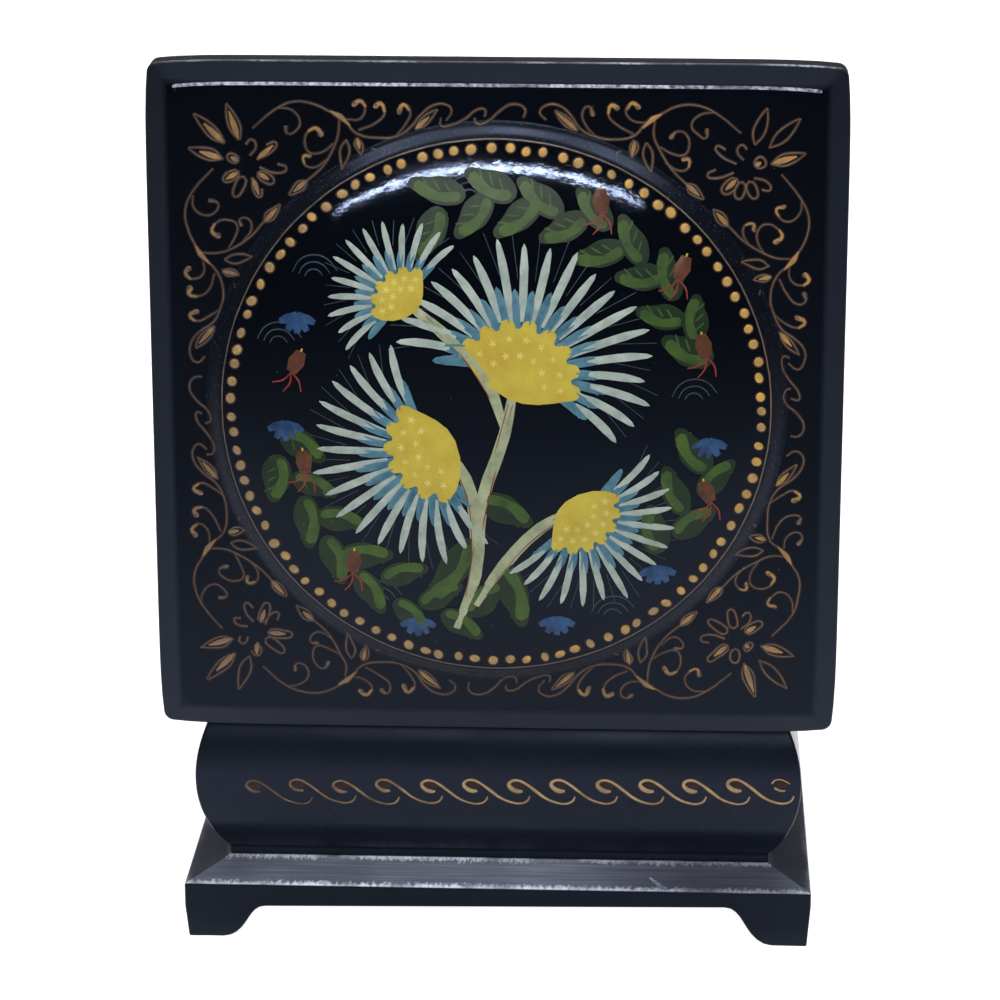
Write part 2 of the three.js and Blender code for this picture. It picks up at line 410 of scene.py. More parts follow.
bm = bmesh.new()
plate = bmesh.ops.create_cube(bm, size=1)["verts"]
bmesh.ops.scale(bm, vec=(plinth_half * 2, plinth_half * 2, PLATE_EDGE), verts=plate)
bmesh.ops.translate(bm, vec=(0, plinth_middle.y, FOOT_HEIGHT + PLATE_EDGE / 2), verts=plate)
top = max(bm.faces, key=lambda f: f.calc_center_median().z)
top = pushed(bm, top)
narrow = (plinth_half - SLOPE_RUN) / plinth_half
bmesh.ops.scale(bm, vec=(narrow, narrow, 1), space=Matrix.Translation((0, -plinth_middle.y, 0)),
                verts=top.verts)
bmesh.ops.translate(bm, vec=(0, 0, SLOPE_RISE), verts=top.verts)
for side in (-1, 1):
    inner = plinth_half - FOOT_FLAT - OGEE_RUN[side]
    back = plinth_half - FOOT_FLAT - (OGEE_RUN[-1] + OGEE_RUN[1]) / 2
    for point, normal in (((side * inner, 0, 0), (1, 0, 0)),
                          ((0, plinth_middle.y + side * back, 0), (0, 1, 0))):
        cut_faces(bm, faces_at(bm, 2, FOOT_HEIGHT), point, normal)
underside = faces_at(bm, 2, FOOT_HEIGHT)
underside.sort(key=lambda f: -(f.calc_center_median().xy - plinth_middle.xy).length)
for face in underside[:4]:
    bracket_foot(bm, face, 1 if face.calc_center_median().x > 0 else -1)
for vert in bm.verts:
    sawn = vert.co.z / FOOT_HEIGHT if vert.co.z < FOOT_HEIGHT + NEAR else 0
    lean = FOOT_LEAN * max(0, 1 - vert.co.z / FOOT_HEIGHT)
    vert.co.z += SAW_TILT * sawn * vert.co.x / plinth_half
    vert.co.x -= math.copysign(lean, vert.co.x)
    vert.co.y -= math.copysign(lean, vert.co.y - plinth_middle.y)
round_arrises(bm, steep_edges(bm, PLINTH_STEEP) + top.edges[:], PLINTH_ARRIS)
plinth = make_piece(bm, "plinth_visual", "box", "plinth_lacquer", plinth_lacquer)
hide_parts("plinth")

# %% [markdown]
# ## The box
# Four convex walls between two straight bands, mitred at the corners and hollow. A square face is
# extruded up the wall's profile, widened and narrowed as the arc asks, then the top is inset by the
# wall's thickness and pushed down to the floor. A pocket in the hinge side's top edge takes a leaf.

# %% Model the box
body_low, body_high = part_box("box_body")
body_middle = (body_low + body_high) / 2
BULGE_HALF = (body_high.x - body_low.x) / 2
BAND_HALF = 43.3 * MM
LOWER_BAND = 1.5 * MM
UPPER_BAND = 3.5 * MM
WALL = 4.0 * MM
FLOOR = 3.0 * MM
BULGE_STEPS = 28
POCKET_HALF = 15.3 * MM
LEAF_REACH = 5.5 * MM
LEAF_ROOM = 0.3 * MM
LEAF_DEPTH = 0.9 * MM
BOX_ARRIS = 0.35 * MM
BOX_STEEP = 34
hinge = Vector(frame["joints"][0]["pos_m"])
bulge_bottom = body_low.z + LOWER_BAND
bulge_top = body_high.z - UPPER_BAND
bulge_middle = (bulge_bottom + bulge_top) / 2
sagitta = BULGE_HALF - BAND_HALF
half_chord = (bulge_top - bulge_bottom) / 2
bulge_radius = (half_chord ** 2 + sagitta ** 2) / (2 * sagitta)

profile = []
for step in range(1, BULGE_STEPS):
    offset = -half_chord + 2 * half_chord * step / BULGE_STEPS
    inset = bulge_radius - math.sqrt(bulge_radius ** 2 - offset ** 2)
    profile.append((BULGE_HALF - inset, bulge_middle + offset))
profile += [(BAND_HALF, bulge_top), (BAND_HALF, body_high.z)]

body_shift = Matrix.Translation((0, -body_middle.y, 0))
bm = bmesh.new()
band = bmesh.ops.create_cube(bm, size=1)["verts"]
bmesh.ops.scale(bm, vec=(BAND_HALF * 2, BAND_HALF * 2, LOWER_BAND), verts=band)
bmesh.ops.translate(bm, vec=(0, body_middle.y, body_low.z + LOWER_BAND / 2), verts=band)
top = max(bm.faces, key=lambda f: f.calc_center_median().z)
half = BAND_HALF
for wide, height in profile:
    top = pushed(bm, top)
    bmesh.ops.scale(bm, vec=(wide / half, wide / half, 1), space=body_shift, verts=top.verts)
    bmesh.ops.translate(bm, vec=(0, 0, height - top.verts[0].co.z), verts=top.verts)
    half = wide
bmesh.ops.inset_region(bm, faces=[top], thickness=WALL)
well = pushed(bm, top)
bmesh.ops.translate(bm, vec=(0, 0, body_low.z + FLOOR - body_high.z), verts=well.verts)

# The hinge leaf's pocket, open to the outside, in the top edge of the hinge side
outer_face = body_middle.y - BAND_HALF
pocket_back = hinge.y + LEAF_REACH + LEAF_ROOM
pocket_floor = body_high.z - LEAF_DEPTH
for side in (-1, 1):
    faces = [f for f in faces_at(bm, 2, body_high.z) if f.calc_center_median().y < pocket_back + WALL]
    faces += [f for f in faces_at(bm, 1, outer_face) if f.calc_center_median().z > bulge_top]
    cut_faces(bm, faces, (side * POCKET_HALF, 0, 0), (1, 0, 0))


def middle_faces(axis, value):
    """The faces in a plane whose middles lie in the box's middle from left to right"""
    return [f for f in faces_at(bm, axis, value) if abs(f.calc_center_median().x) < MM]


cut_faces(bm, [f for f in middle_faces(2, body_high.z) if f.calc_center_median().y < 0],
          (0, pocket_back, 0), (0, 1, 0))
cut_faces(bm, [f for f in middle_faces(1, outer_face) if f.calc_center_median().z > bulge_top],
          (0, 0, pocket_floor), (0, 0, 1))
gone = [f for f in middle_faces(2, body_high.z) if f.calc_center_median().y < pocket_back]
gone += [f for f in middle_faces(1, outer_face) if f.calc_center_median().z > pocket_floor]
bmesh.ops.delete(bm, geom=gone, context="FACES")


def corner_at(x, y, z):
    """The vertex nearest to a place"""
    return min(bm.verts, key=lambda v: (v.co - Vector((x, y, z))).length)


back_edge = bm.edges.get([corner_at(side * POCKET_HALF, pocket_back, body_high.z) for side in (-1, 1)])
lowered = new_of(bmesh.ops.extrude_edge_only(bm, edges=[back_edge]), bmesh.types.BMVert)
bmesh.ops.translate(bm, vec=(0, 0, -LEAF_DEPTH), verts=lowered)
bmesh.ops.contextual_create(bm, geom=[corner_at(side * POCKET_HALF, y, pocket_floor)
                                      for side in (-1, 1) for y in (outer_face, pocket_back)])
for side in (-1, 1):
    bmesh.ops.contextual_create(bm, geom=[corner_at(side * POCKET_HALF, y, z)
                                          for y in (outer_face, pocket_back)
                                          for z in (pocket_floor, body_high.z)])
bmesh.ops.recalc_face_normals(bm, faces=bm.faces)
round_arrises(bm, steep_edges(bm, BOX_STEEP), BOX_ARRIS)
box_body = make_piece(bm, "box_visual", "box", "body_lacquer", body_lacquer)
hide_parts("box_body")

# %% [markdown]
# ## The lid
# A square plate with a chamfered rim, its sides bowed in a little towards the corners, and in the
# middle a low dome, turned on the lathe, that swells up from the field in an S-curve. It is modelled
# lying closed about its hinge axis and then turned up. Rings of edges, each extruded from the last,
# make the swell and the dome up to a pole; the square's edge is extruded inwards into a strip and
# outwards into the chamfer and the rim; and the flat field between strip and circle is filled. The dome
# stays lower by the paint's thickness, so the painted lid keeps its size.

# %% The lid's own measures
LID_HALF = (lid_high.x - lid_low.x) / 2
lid_centre = (lid_low.z + lid_high.z) / 2 - hinge.z
LID_RIM = 4.2 * MM
CHAMFER_RUN = 3.3 * MM
CHAMFER_RISE = 1.5 * MM
CORNER_RADIUS = 1.2 * MM
BOW = 0.6 * MM
BOW_POWER = 12
SWELL_RADIUS = 44.5 * MM
SWELL_RISE = 1.5 * MM
DOME_RADIUS = 41.7 * MM
DOME_POWER = 2.4
PAINT_ROOM = 0.2 * MM
SLOT_HALF = 16.4 * MM
KNUCKLE_ROOM = 1.8 * MM
FIELD_STRIP = 1.5 * MM
LID_ARRIS = 0.25 * MM
LID_STEEP = 20
field = LID_RIM + CHAMFER_RISE
dome_edge = field + SWELL_RISE
dome_rise = (hinge.y - lid_low.y) - dome_edge - PAINT_ROOM
field_half = LID_HALF - CHAMFER_RUN
open_lid = Matrix.Translation(hinge) @ Matrix.Rotation(math.pi / 2, 4, "X")


def lid_height(radius):
    """Height of the lid's face over its underside, this far from the middle"""
    if radius > DOME_RADIUS:
        share = max(0, (SWELL_RADIUS - radius) / (SWELL_RADIUS - DOME_RADIUS))
        return field + SWELL_RISE * share ** 2 * (3 - 2 * share)
    return dome_edge + dome_rise * (1 - (radius / DOME_RADIUS) ** DOME_POWER)


print("dome rises", round(dome_rise / MM, 2), "mm over its edge")

# %% Model the lid
LID_FINISHES = (lid_lacquer, rubbed_lacquer, lid_glint, lid_faint_glint)
POLISHED, RUBBED, GLINT, FAINT_GLINT = range(len(LID_FINISHES))
DOME_SIDES = 128
DOME_RINGS = 22
SWELL_STEPS = 8
SIDE_CUTS = 25
radii = [SWELL_RADIUS + (DOME_RADIUS - SWELL_RADIUS) * step / SWELL_STEPS for step in range(1, SWELL_STEPS)]
radii += [DOME_RADIUS * math.cos(math.pi / 2 * ring / DOME_RINGS) for ring in range(DOME_RINGS)]

bm = bmesh.new()
flat = Matrix.Translation((0, 0, field))
bmesh.ops.create_circle(bm, segments=DOME_SIDES, radius=SWELL_RADIUS, matrix=flat)
circle = bm.edges[:]
loop = circle
last = SWELL_RADIUS
for radius in radii:
    grown = bmesh.ops.extrude_edge_only(bm, edges=loop)
    verts = new_of(grown, bmesh.types.BMVert)
    loop = [e for e in new_of(grown, bmesh.types.BMEdge) if all(v in verts for v in e.verts)]
    bmesh.ops.scale(bm, vec=(radius / last, radius / last, 1), verts=verts)
    bmesh.ops.translate(bm, vec=(0, 0, lid_height(radius) - verts[0].co.z), verts=verts)
    last = radius
pole = new_of(bmesh.ops.extrude_edge_only(bm, edges=loop), bmesh.types.BMVert)
bmesh.ops.pointmerge(bm, verts=pole, merge_co=(0, 0, dome_edge + dome_rise))

bmesh.ops.create_grid(bm, x_segments=1, y_segments=1, size=field_half, matrix=flat)
sheet = max(bm.faces, key=lambda f: f.calc_area())
bmesh.ops.bisect_edges(bm, edges=sheet.edges[:], cuts=SIDE_CUTS)
sheet = max(bm.faces, key=lambda f: f.calc_area())
corners = [v for v in sheet.verts if min(abs(v.co.x), abs(v.co.y)) > field_half - NEAR]
bmesh.ops.bevel(bm, geom=corners, offset=CORNER_RADIUS, offset_type="OFFSET", segments=5,
                profile=0.5, affect="VERTICES", material=-1)
sheet = max(bm.faces, key=lambda f: f.calc_area())
for vert in sheet.verts:
    x, y = vert.co.xy / field_half
    vert.co.x -= BOW * x * abs(y) ** BOW_POWER
    vert.co.y -= BOW * y * abs(x) ** BOW_POWER
border = sheet.edges[:]
bmesh.ops.delete(bm, geom=[sheet], context="FACES_ONLY")


def next_loop(edges, grow, drop):
    """Extrudes a loop of edges, widens and lowers the new one, and gives it"""
    grown = bmesh.ops.extrude_edge_only(bm, edges=edges)
    verts = new_of(grown, bmesh.types.BMVert)
    bmesh.ops.scale(bm, vec=(grow, grow, 1), verts=verts)
    bmesh.ops.translate(bm, vec=(0, 0, -drop), verts=verts)
    return [e for e in new_of(grown, bmesh.types.BMEdge) if all(v in verts for v in e.verts)]


inner = next_loop(border, (field_half - FIELD_STRIP) / field_half, 0)
bmesh.ops.triangle_fill(bm, use_beauty=True, edges=inner + circle)
border = next_loop(border, LID_HALF / field_half, CHAMFER_RISE)
border = next_loop(border, 1.0, LID_RIM)
bmesh.ops.contextual_create(bm, geom=border)
bmesh.ops.recalc_face_normals(bm, faces=bm.faces)
# The bevel faces along the open lid's top edge get a painted glint: bright on the inner arris, faint on the
# outer
for face in round_arrises(bm, steep_edges(bm, LID_STEEP), LID_ARRIS, segments=4):
    middle = face.calc_center_median()
    if middle.y > abs(middle.x) and middle.z > LID_RIM / 2:
        face.material_index = GLINT if middle.z > LID_RIM + CHAMFER_RISE / 2 else FAINT_GLINT
for face in bm.faces:
    middle = face.calc_center_median()
    on_swell = DOME_RADIUS < middle.xy.length < SWELL_RADIUS
    if face.material_index == POLISHED and (on_swell or middle.z < LID_RIM):
        face.material_index = RUBBED
bmesh.ops.translate(bm, vec=(0, lid_centre, 0), verts=bm.verts)

# The hinge's mortise in the underside: a slot for the knuckles and a shallower bed for the leaf
for cut_x in (-SLOT_HALF, -POCKET_HALF, POCKET_HALF, SLOT_HALF):
    cut_faces(bm, faces_at(bm, 2, 0), (cut_x, 0, 0), (1, 0, 0))
for cut_y in (-KNUCKLE_ROOM, KNUCKLE_ROOM, LEAF_REACH + LEAF_ROOM):
    cut_faces(bm, faces_at(bm, 2, 0), (0, cut_y, 0), (0, 1, 0))
leaf_bed = LEAF_DEPTH + LEAF_ROOM
beds = ((0, leaf_bed, LEAF_REACH + LEAF_ROOM), (leaf_bed, KNUCKLE_ROOM - leaf_bed, KNUCKLE_ROOM))
for level, depth, reach in beds:
    bed = []
    for face in faces_at(bm, 2, level):
        middle = face.calc_center_median()
        half = SLOT_HALF if middle.y < KNUCKLE_ROOM else POCKET_HALF
        if abs(middle.x) < half and -KNUCKLE_ROOM < middle.y < reach:
            bed.append(face)
    sunk = new_of(bmesh.ops.extrude_face_region(bm, geom=bed), bmesh.types.BMVert)
    bmesh.ops.delete(bm, geom=bed, context="FACES")
    bmesh.ops.translate(bm, vec=(0, 0, depth), verts=sunk)
bmesh.ops.transform(bm, matrix=open_lid, verts=bm.verts)
lid = make_piece(bm, "lid_visual", "lid", "lid_lacquer", *LID_FINISHES)
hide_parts("lid")

# %% [markdown]
# ## The hinge
# Two small leaves on a pin, hidden from the front. Their solids are right as they are, so they keep
# their meshes and only get a finish: dull drawn brass, browned where hands do not reach.

# %% Brass for the hinge
def dull_brass():
    """Drawn brass, yellow to brown"""
    material, tree, shader, where = new_material("dull_brass")
    tarnish = noise(tree, where, 2.0, 5.0)
    set_inputs(tree, shader, {"Base Color": mixed(tree, tarnish, "#b8944f", "#6b5228"),
                              "Roughness": ramp(tree, tarnish, 0.0, 1.0, 0.28, 0.5), "Metallic": 1.0})
    return material


brass = dull_brass()
for name in ("hinge_leaf_body", "hinge_leaf_lid", "hinge_pin"):
    mesh = frame["nodes"][name].data
    mesh.materials.clear()
    mesh.materials.append(brass)
print("hinge finished in", brass.name)

# %% [markdown]
# ## Painting with curves
# The decoration is paint: gold and tempera lines with a thick and thin touch, and flat patches. A line
# is a Bezier spline whose radius changes from point to point, given a round section, made a mesh and
# pressed flat to a film. A patch is a filled flat curve, cut by a grid of planes so that it can bend.
# Either is drawn flat in millimetres, and then every vertex is laid on the surface that carries it.

# %% Lay paint on the lid or on the box's wall
def on_lid(u, v, lift=0.0):
    """A place on the open lid's face, u to the right and v up from its middle"""
    height = lid_height(math.hypot(u, v)) + lift
    return open_lid @ Vector((u, lid_centre + v, height))


def on_wall(x, s, lift=0.0):
    """A place on the box's front wall, s along the bulge upwards from its fullest line"""
    angle = s / bulge_radius
    out = BULGE_HALF - bulge_radius * (1 - math.cos(angle)) + lift * math.cos(angle)
    up = bulge_radius * math.sin(angle) + lift * math.sin(angle)
    return Vector((x, body_middle.y - out, bulge_middle + up))


LID_FACE = (on_lid, "lid", "lid_lacquer")
WALL_FACE = (on_wall, "box", "body_lacquer")


def add_curve(bm, curve):
    """Adds the curve's evaluated mesh and gives its vertices"""
    known = set(bm.verts)
    holder = bpy.data.objects.new(curve.name, curve)
    bpy.context.scene.collection.objects.link(holder)
    mesh = bpy.data.meshes.new_from_object(holder.evaluated_get(bpy.context.evaluated_depsgraph_get()))
    bm.from_mesh(mesh)
    bpy.data.objects.remove(holder)
    bpy.data.curves.remove(curve)
    bpy.data.meshes.remove(mesh)
    return [vert for vert in bm.verts if vert not in known]


def add_spline(curve, points, closed):
    """A smooth spline through points of x, y and width"""
    spline = curve.splines.new("BEZIER")
    spline.bezier_points.add(len(points) - 1)
    spline.use_cyclic_u = closed
    for knot, (x, y, width) in zip(spline.bezier_points, points):
        knot.co = (x, y, 0)
        knot.radius = width / 2
        knot.handle_left_type = "AUTO"
        knot.handle_right_type = "AUTO"


def brush_lines(name, lines, film, lift, face, paint):
    """Lines of paint: film is the film's half thickness as a share of a line's half width, lift its
    height over the surface in millimetres, face how to lay it, the body that it rides and its slot"""
    lay, body, slot = face
    curve = bpy.data.curves.new(name, "CURVE")
    curve.dimensions = "3D"
    curve.bevel_depth = 1.0
    curve.bevel_resolution = 1
    curve.resolution_u = 3
    curve.use_fill_caps = True
    for points, closed in lines:
        add_spline(curve, points, closed)
    bm = bmesh.new()
    for vert in add_curve(bm, curve):
        x, y, z = vert.co * MM
        vert.co = lay(x, y, z * film + lift * MM)
    make_piece(bm, name, body, slot, paint, weighted=False)


PATCH_GRID = 3.0
PATCH_STEP = 0.002


def paint_patches(name, outlines, film, lift, face, paint):
    """Flat patches of paint inside closed outlines, film millimetres thick, each a hair over the last"""
    lay, body, slot = face
    bm = bmesh.new()
    for i, outline in enumerate(outlines):
        curve = bpy.data.curves.new(name, "CURVE")
        curve.dimensions = "2D"
        curve.fill_mode = "BOTH"
        curve.extrude = film / 2
        curve.resolution_u = 4
        add_spline(curve, [(x, y, 1.0) for x, y in outline], True)
        patch = add_curve(bm, curve)
        bmesh.ops.translate(bm, vec=(0, 0, i * PATCH_STEP), verts=patch)
        bmesh.ops.remove_doubles(bm, verts=patch, dist=PATCH_STEP / 2)
    reach = math.ceil(DOME_RADIUS / MM / PATCH_GRID)
    for step in range(-reach, reach + 1):
        for normal in ((1, 0, 0), (0, 1, 0)):
            bmesh.ops.bisect_plane(bm, geom=bm.verts[:] + bm.edges[:] + bm.faces[:], dist=0.001,
                                   plane_co=[n * step * PATCH_GRID for n in normal], plane_no=normal)
    for vert in bm.verts:
        x, y, z = vert.co * MM
        vert.co = lay(x, y, z + lift * MM)
    make_piece(bm, name, body, slot, paint, weighted=False)


print("paint rides", LID_FACE[1], "and", WALL_FACE[1])

# %% The brush's touch
hand = random.Random(7)


def touch(points, thick, head=0.0, shake=0.0):
    """A stroke that swells in its middle, ends in a drop of paint if it has a head, and shakes a little"""
    last = len(points) - 1
    stroke = []
    for i, (x, y) in enumerate(points):
        width = thick * (0.6 + 0.4 * math.sin(math.pi * i / last) ** 0.7)
        x += hand.uniform(-shake, shake)
        y += hand.uniform(-shake, shake)
        stroke.append((x, y, max(width, head) if i == last else width))
    if head:
        (x0, y0, _), (x1, y1, _) = stroke[-2:]
        reach = 0.5 * head / math.hypot(x1 - x0, y1 - y0)
        stroke.append((x1 + (x1 - x0) * reach, y1 + (y1 - y0) * reach, head * 0.3))
    return stroke, False


def polar(centre, angle, radius):
    """The point at this angle in degrees and distance from a centre"""
    turn = math.radians(angle)
    return centre[0] + radius * math.cos(turn), centre[1] + radius * math.sin(turn)


def between(a, b, share, aside=0.0):
    """A point part of the way from a to b, pushed aside to the left by a length"""
    dx, dy = b[0] - a[0], b[1] - a[1]
    length = math.hypot(dx, dy)
    return a[0] + dx * share - dy / length * aside, a[1] + dy * share + dx / length * aside


def leaf_outline(base, tip, width):
    """Two thin curved strokes that meet in a point"""
    strokes = []
    for side in (-0.5, 0.5):
        points = [base, between(base, tip, 0.3, side * width),
                  between(base, tip, 0.65, side * width * 0.85), tip]
        strokes.append(touch(points, 0.22, shake=0.1))
    return strokes


def dab(points, thick):
    """A short broad touch that tapers to both ends"""
    last = len(points) - 1
    widths = [thick * (0.2 + 0.8 * math.sin(math.pi * i / last)) for i in range(last + 1)]
    return [(x, y, width) for (x, y), width in zip(points, widths)], False


def leaf_fill(base, tip, width):
    """One broad touch inside a leaf, from near its base to somewhere short of its tip"""
    end = hand.uniform(0.6, 0.9)
    return dab([between(base, tip, share * end) for share in (0.08, 0.3, 0.6, 1.0)], width * 0.6)


print("the brush is ready")

# %% [markdown]
# ## The gold scrolls of the lid
# The four corners hold the same traditional figure: a loop-petalled flower with three pointed leaves
# towards the corner, and on either side of it a large curl, a comb of small curls and a leaf, which
# run along the edge to two waves at its middle. Half of one corner is drawn from a few points a
# stroke, in millimetres from the lid's middle, and mirrored eight times. Each copy shakes a little,
# as a hand does. Under the gold lies a wider line of brown, the tacky size that holds the powder.

# %% Draw the scrolls
HALF_CORNER = [
    (((42.7, 36.7), (45.8, 33.0), (46.9, 30.1), (46.7, 27.1), (45.4, 24.5), (44.6, 23.0)), 0.38, 0.0),
    (((45.9, 32.6), (45.6, 30.6), (44.0, 29.3), (42.5, 30.1), (42.1, 31.3), (43.2, 31.6)), 0.32, 0.5),
    (((44.4, 23.6), (42.4, 23.6), (40.4, 24.3), (37.2, 26.2), (34.7, 28.8), (33.6, 30.2)), 0.36, 0.0),
    (((40.6, 24.4), (39.5, 26.2), (39.3, 28.0), (40.4, 28.8), (42.5, 28.2), (43.0, 27.0), (42.0, 26.2)),
     0.32, 0.65),
    (((38.2, 25.5), (37.0, 27.5), (37.5, 28.8), (38.7, 28.9), (38.7, 28.0)), 0.32, 0.5),
    (((45.2, 24.3), (44.2, 22.6), (42.3, 20.9), (41.6, 17.6), (42.0, 14.9), (43.2, 12.7), (45.3, 11.2),
      (46.7, 9.3), (46.8, 7.4), (45.8, 6.5), (44.4, 7.5)), 0.38, 0.0),
    (((44.3, 22.4), (44.6, 20.4), (46.3, 19.5), (47.2, 20.4), (46.6, 21.3)), 0.32, 0.65),
    (((42.6, 20.6), (43.9, 17.9), (45.5, 16.7), (46.8, 17.2), (46.4, 18.1)), 0.34, 0.7),
    (((42.0, 15.0), (43.7, 13.6), (45.8, 12.9), (46.7, 13.8), (45.6, 14.5)), 0.34, 0.65),
    (((39.9, 18.9), (39.7, 18.1)), 0.4, 0.0),
]
JUNCTION = ((45.6, 24.8), (44.8, 23.4), (43.4, 21.9))
HALF_CORNER_LEAVES = [
    ((35.0, 28.5), (32.6, 31.2), 1.3, True),
    ((41.2, 22.5), (36.9, 23.2), 1.3, False),
    ((41.6, 20.8), (38.9, 20.3), 1.1, True),
    ((42.9, 12.2), (46.0, 8.7), 1.2, True),
]
MIDDLE_WAVES = [
    ((44.6, 8.2), (43.7, 8.3), (43.5, 7.0), (44.6, 4.7), (46.1, 2.7), (46.0, 1.6), (45.0, 1.7)),
    ((44.8, 3.3), (43.9, 2.9), (44.0, 1.4), (46.0, -0.6), (47.0, -2.6), (46.3, -4.2), (44.9, -4.1)),
]
FLOWER = (37.3, 37.0)
PETALS = ((98, 5.7), (137, 5.6), (174, 5.0), (208, 4.8), (247, 4.9), (284, 4.6), (347, 3.3), (46, 4.0))
CORNER_LEAVES = ((27, 4.2, 10.1), (0, 5.0, 11.4), (-28, 4.0, 9.4))
SHAKE = 0.16
LINE = 0.54


def corner_flower():
    """The flower and its leaves: thin lines and broad touches"""
    thin, broad = [], []
    for angle, length in PETALS:
        angle += 45 + hand.uniform(-7, 7)
        length += hand.uniform(-0.5, 0.3)
        root, end = polar(FLOWER, angle, 1.7), polar(FLOWER, angle, length)
        loop = [root, between(root, end, 0.65, hand.uniform(0.55, 0.9)), end,
                between(root, end, 0.65, -hand.uniform(0.55, 0.9))]
        thin.append(([(x, y, 0.22) for x, y in loop], hand.random() < 0.6))
        if hand.random() < 0.3:
            broad.append(leaf_fill(root, end, 1.3))
    for angle, start, end in CORNER_LEAVES:
        base, tip = polar(FLOWER, 45 + angle, start), polar(FLOWER, 45 + angle, end)
        thin += leaf_outline(base, tip, 1.6)
        if hand.random() < 0.7:
            broad.append(leaf_fill(base, tip, 1.6))
    return thin, broad


def half_corner():
    """The scroll on one side of a corner's diagonal: thin lines and broad touches"""
    thin = [touch(points, thick * LINE, head, SHAKE) for points, thick, head in HALF_CORNER]
    broad = [dab(JUNCTION, 0.8)]
    broad += [touch(points[-3:], head * 0.8, head, 0.05)
              for points, thick, head in HALF_CORNER if hand.random() < head]
    for base, tip, width, filled in HALF_CORNER_LEAVES:
        thin += leaf_outline(base, tip, width)
        if filled:
            broad.append(leaf_fill(base, tip, width))
    return thin, broad


def moved(lines, move):
    """The same lines with each point moved"""
    return [([(*move(x, y), w) for x, y, w in points], closed) for points, closed in lines]


scroll_lines, scroll_touches = [], []
for mirror_u in (-1, 1):
    for mirror_v in (-1, 1):
        for drawing, swapped in ((corner_flower(), False), (half_corner(), False), (half_corner(), True)):
            for strokes, kept in zip(drawing, (scroll_lines, scroll_touches)):
                if swapped:
                    strokes = moved(strokes, lambda x, y: (y, x))
                kept += moved(strokes, lambda x, y: (x * mirror_u, y * mirror_v))
for quarter_turn in range(4):
    for wave in MIDDLE_WAVES:
        strokes = [touch(wave, 0.36 * LINE, 0.0, SHAKE)]
        for _ in range(quarter_turn):
            strokes = moved(strokes, lambda x, y: (-y, x))
        scroll_lines += strokes
print(len(scroll_lines), "thin gold lines and", len(scroll_touches), "broad touches on the lid")

# %% [markdown]
# ### Gold paint
# Bronze powder in varnish, brushed on brown size: a soft metallic yellow, thin enough that the brown
# shows through, bright where the brush was loaded and grey where hands have rubbed it. The noise that
# drives the wear is a few millimetres across, and the lower and left parts are the more worn.

# %% Gold, and the brown under it
def gold_paint(name, bright, worn, low, high, fading=(0.45, 0.45)):
    """Gold that fades from bright at the high corner to worn at the low one, both in metres; fading is
    how much of it is lost on the way across and on the way down"""
    material, tree, shader, where = new_material(name)
    axes = split(tree, where)
    fade_x = ramp(tree, axes["X"], low[0], high[0], fading[0], 0.0)
    fade_z = ramp(tree, axes["Z"], low[1], high[1], fading[1], 0.0)
    patchy = noise(tree, where, 3.0, 4.0, 0.7)
    rub = ramp(tree, patchy, 0.35, 0.75, 0.0, 0.8)
    wear = maths(tree, "ADD", maths(tree, "ADD", fade_x, fade_z), rub, clamp=True)
    set_inputs(tree, shader, {"Base Color": mixed(tree, wear, bright, worn),
                              "Normal": bumped(tree, patchy, 0.3, 0.05),
                              "Metallic": 0.25, "Roughness": 0.45})
    return material


def brown_size():
    """The dark tacky varnish under the gold"""
    material, tree, shader, where = new_material("brown_gilding_size")
    colour = mixed(tree, noise(tree, where, 5.0, 3.0), "#2b1710", "#150d0d")
    set_inputs(tree, shader, {"Base Color": colour, "Roughness": 0.4,
                              "Specular IOR Level": LACQUER_SPECULAR})
    return material


def widened(lines, by):
    """The same lines, wider by a length on either side"""
    return [([(x, y, w + 2 * by) for x, y, w in points], closed) for points, closed in lines]


SIZE_FILM = 0.06
SIZE_BORDER = 0.2
LINE_FILM = 0.3
BROAD_FILM = 0.2
size_brown = brown_size()
lid_corner_low = (-field_half, lid_low.z)
lid_corner_high = (field_half, lid_high.z)
thin_gold = gold_paint("thin_gold_paint", "#70593d", "#453b38", lid_corner_low, lid_corner_high)
full_gold = gold_paint("full_gold_paint", "#ac7f36", "#69543c", lid_corner_low, lid_corner_high)
under_gold = widened(scroll_lines + scroll_touches, SIZE_BORDER)
brush_lines("lid_scroll_size", under_gold, SIZE_FILM, 0.0, LID_FACE, size_brown)
brush_lines("lid_scroll_lines", scroll_lines, LINE_FILM, 0.01, LID_FACE, thin_gold)
brush_lines("lid_scroll_touches", scroll_touches, BROAD_FILM, 0.02, LID_FACE, full_gold)

# %% [markdown]
# ## The ring of dots
# Ninety-five drops of thick gold follow the dome's edge, set by eye, so neither their spacing nor their
# size is quite even. One small sphere is flattened for each, turned to the dome's slope, over
# a thinner and wider one of brown size. A fine line outside them follows the foot of the dome.

